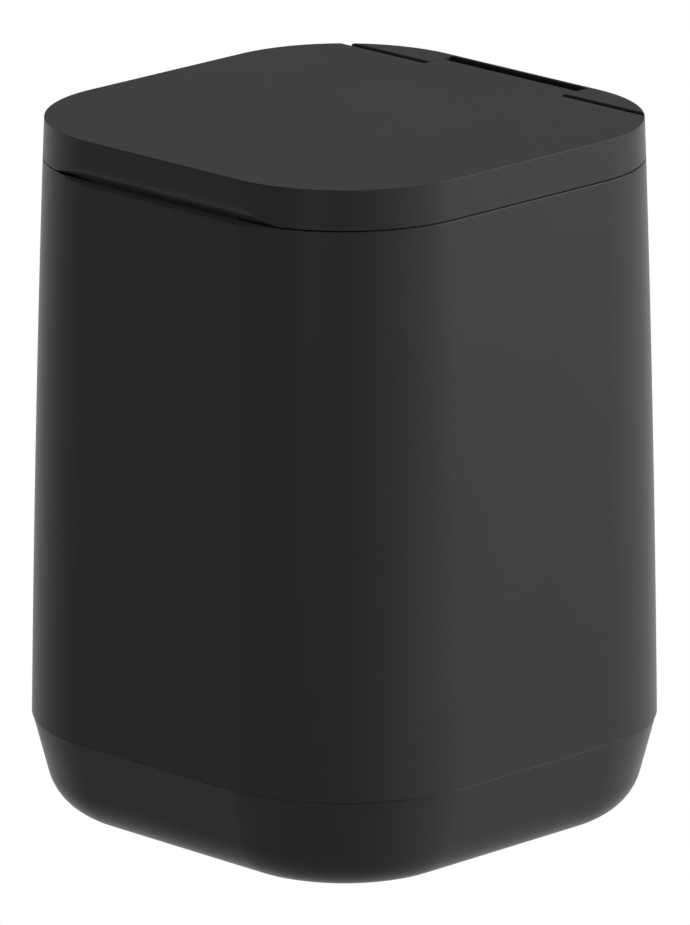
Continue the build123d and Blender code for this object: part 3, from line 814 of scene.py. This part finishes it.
class BIN_OT_seal(bpy.types.Operator):
    """Models the seal: a strip with a round bead below, carried round the bucket's rim"""

    bl_idname = "bin.seal"
    bl_label = "Seal"

    def execute(self, context):
        sizes = context.scene.bin_soft
        low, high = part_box("lid_seal")
        core_x = high.x - sizes.seal_corner
        core_y = (high.y - low.y) / 2 - sizes.seal_corner
        outer, inner = sizes.seal_corner, sizes.seal_corner - sizes.seal_width
        strip, edge = high.z - sizes.seal_strip, sizes.seal_strip / 3
        inset = sizes.seal_width / 5
        bead = sizes.seal_width / 2 - inset - TINY
        section = rounded(
            [
                (inner, high.z, 0),
                (inner, strip, edge),
                (inner + inset, strip, edge),
                (inner + inset, low.z, bead),
                (outer - inset, low.z, bead),
                (outer - inset, strip, edge),
                (outer, strip, edge),
                (outer, high.z, 0),
            ],
            sizes.bead_steps,
        )
        bm = bmesh.new()
        carry_round(bm, section, core_x, core_y, sizes.turned_steps // 2, middle_of("lid_seal").y)
        finish_piece(context, "seal_ring", bm, "lid", "soft_rubber", "lid_seal", SOFT_CREASE)
        return {"FINISHED"}


class BIN_OT_feet(bpy.types.Operator):
    """Models the four feet: rubber discs with a ring groove in their faces"""

    bl_idname = "bin.feet"
    bl_label = "Feet"

    def execute(self, context):
        sizes = context.scene.bin_soft
        for name in FEET:
            spot, radius, tall = upright(name)
            groove, depth = radius * sizes.groove_place, sizes.groove_depth
            across, edge = groove + sizes.groove_width, depth / 3
            section = rounded(
                [
                    (0, 0, 0),
                    (groove, 0, edge),
                    (groove + depth, depth, 0),
                    (across, depth, 0),
                    (across + depth, 0, edge),
                    (radius, 0, sizes.foot_edge),
                    (radius, tall, 0),
                    (0, tall, 0),
                ],
                sizes.foot_steps,
            )
            bm = bmesh.new()
            turned(bm, section, spot, UP, sizes.turned_steps)
            piece = name.replace("foot", "pad")
            finish_piece(context, piece, bm, "body", "foot_rubber", name, SOFT_CREASE)
        return {"FINISHED"}


class BIN_OT_bumpers(bpy.types.Operator):
    """Models the two small stops under the lid's front corners"""

    bl_idname = "bin.bumpers"
    bl_label = "Bumpers"

    def execute(self, context):
        sizes = context.scene.bin_soft
        for name in BUMPERS:
            spot, radius, tall = upright(name)
            corners = [(0, 0, 0), (radius, 0, sizes.bumper_edge), (radius, tall, 0), (0, tall, 0)]
            bm = bmesh.new()
            turned(bm, rounded(corners, sizes.bumper_steps), spot, UP, sizes.turned_steps)
            piece = name.replace("lid_bumper", "stop")
            finish_piece(context, piece, bm, "lid", "soft_rubber", name, SOFT_CREASE)
        return {"FINISHED"}


class BIN_OT_finishes(bpy.types.Operator):
    """Gives the pieces that stay as they are their finishes"""

    bl_idname = "bin.finishes"
    bl_label = "Finishes"

    def execute(self, context):
        for piece in frame["record"]["subparts"]:
            finish = finish_of(context, piece["material_slot"])
            for material_slot in NODES[piece["node"]].material_slots:
                material_slot.material = finish
        return {"FINISHED"}


def from_front(azimuth, above):
    """Unit vector from the bin: azimuth 0 is the front, 90 degrees the right."""
    return Vector((sin(azimuth) * cos(above), -cos(azimuth) * cos(above), sin(above)))


def aim(obj, place, target):
    """Puts a camera or lamp at a place, looking at the target."""
    obj.matrix_world = Matrix.LocRotScale(place, (place - target).to_track_quat("Z", "Y"), None)


def seen_directly(tree, with_gloss):
    """A node that gives 1 for rays that see the background: the camera's, glass's and perhaps gloss's."""
    paths = node(tree, "ShaderNodeLightPath")
    first = node(tree, "ShaderNodeMath", operation="MAXIMUM")
    second = node(tree, "ShaderNodeMath", {1: 0.0}, operation="MAXIMUM")
    rows = [
        (paths, "Is Camera Ray", first, 0),
        (paths, "Is Transmission Ray", first, 1),
        (first, "Value", second, 0),
    ]
    if with_gloss:
        rows.append((paths, "Is Glossy Ray", second, 1))
    link_rows(tree, rows)
    return second


def white_where_seen(tree, output, plain, white, with_gloss):
    """Shows the white shader to the rays that see it directly, and the plain one to all others."""
    mix = node(tree, "ShaderNodeMixShader")
    link_rows(
        tree,
        [
            (seen_directly(tree, with_gloss), "Value", mix, "Fac"),
            (plain, 0, mix, 1),
            (white, 0, mix, 2),
            (mix, "Shader", output, "Surface"),
        ],
    )


class BIN_OT_stage(bpy.types.Operator):
    """Adds the camera, the floor, the even light and the lamps"""

    bl_idname = "bin.stage"
    bl_label = "Stage"

    def execute(self, context):
        look, scene = context.scene.bin_stage, context.scene
        target = UP * look.aim_height
        data = bpy.data.cameras.new("camera")
        data.lens = look.lens
        data.shift_x = look.shift_x
        camera = bpy.data.objects.new("camera", data)
        scene.collection.objects.link(camera)
        aim(camera, target + from_front(look.azimuth, look.pitch) * look.distance, target)
        scene.camera = camera
        scene.view_settings.view_transform = "Standard"
        self.add_floor(scene, look)
        self.add_world(scene, look)
        for lamp in LAMPS:
            self.add_lamp(scene, target, *lamp)
        return {"FINISHED"}

    def add_floor(self, scene, look):
        """A floor that the camera and reflections see as white."""
        bm = bmesh.new()
        bmesh.ops.create_grid(bm, x_segments=1, y_segments=1, size=look.floor_size / 2)
        mesh = bpy.data.meshes.new("floor")
        bm.to_mesh(mesh)
        bm.free()
        floor = bpy.data.objects.new("floor", mesh)
        scene.collection.objects.link(floor)
        material, tree, output = blank_material("floor_white")
        paper = node(tree, "ShaderNodeBsdfDiffuse", {"Color": (*look.floor_colour, 1)})
        white = node(tree, "ShaderNodeEmission", {"Strength": 1.0})
        white_where_seen(tree, output, paper, white, with_gloss=True)
        mesh.materials.append(material)

    def add_world(self, scene, look):
        """Even light from all round, seen as white. Gloss sees its real level, or the lid turns pale."""
        world = bpy.data.worlds.new("even_light")
        world.use_nodes = True
        tree = world.node_tree
        tree.nodes.clear()
        output = tree.nodes.new("ShaderNodeOutputWorld")
        even = node(tree, "ShaderNodeBackground", {"Color": (1, 1, 1, 1), "Strength": look.even_light})
        white = node(tree, "ShaderNodeBackground", {"Color": (1, 1, 1, 1), "Strength": 1.0})
        white_where_seen(tree, output, even, white, with_gloss=False)
        scene.world = world

    def add_lamp(self, scene, target, name, azimuth, above, distance, width, height, power):
        """A soft rectangular lamp, placed round the bin."""
        light = bpy.data.lights.new(name, "AREA")
        light.shape = "RECTANGLE"
        light.size = width
        light.size_y = height
        light.energy = power
        lamp = bpy.data.objects.new(name, light)
        scene.collection.objects.link(lamp)
        aim(lamp, target + from_front(radians(azimuth), radians(above)) * distance, target)


class BIN_PT_panel(bpy.types.Panel):
    """Lists the steps that dress the bin"""

    bl_idname = "BIN_PT_panel"
    bl_label = "Lid bin"
    bl_space_type = "VIEW_3D"
    bl_region_type = "UI"
    bl_category = "Bin"

    def draw(self, context):
        for step in STEPS:
            self.layout.operator(step.bl_idname)


STEPS = (
    BIN_OT_stage,
    BIN_OT_finishes,
    BIN_OT_sleeve,
    BIN_OT_base,
    BIN_OT_lid,
    BIN_OT_seal,
    BIN_OT_feet,
    BIN_OT_bumpers,
)
GROUPS = {
    "bin_shell": ShellSizes,
    "bin_lid": LidSizes,
    "bin_soft": SoftSizes,
    "bin_black": BlackLook,
    "bin_grey": GreyLook,
    "bin_rubber": RubberLook,
    "bin_foot": FootLook,
    "bin_bush": BushLook,
    "bin_steel": SteelLook,
    "bin_stage": StageLook,
}


def register():
    """Adds the property groups, the steps and the panel."""
    for name, group in GROUPS.items():
        bpy.utils.register_class(group)
        setattr(bpy.types.Scene, name, bpy.props.PointerProperty(type=group))
    for cls in (*STEPS, BIN_PT_panel):
        bpy.utils.register_class(cls)


def unregister():
    """Takes them away again, last first."""
    for cls in (BIN_PT_panel, *reversed(STEPS)):
        bpy.utils.unregister_class(cls)
    for name, group in reversed(GROUPS.items()):
        delattr(bpy.types.Scene, name)
        bpy.utils.unregister_class(group)


def main():
    """Registers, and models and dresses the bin."""
    register()
    bpy.ops.bin.stage()
    bpy.ops.bin.finishes()
    bpy.ops.bin.sleeve()
    bpy.ops.bin.base()
    bpy.ops.bin.lid()
    bpy.ops.bin.seal()
    bpy.ops.bin.feet()
    bpy.ops.bin.bumpers()


if __name__ == "__main__":
    main()
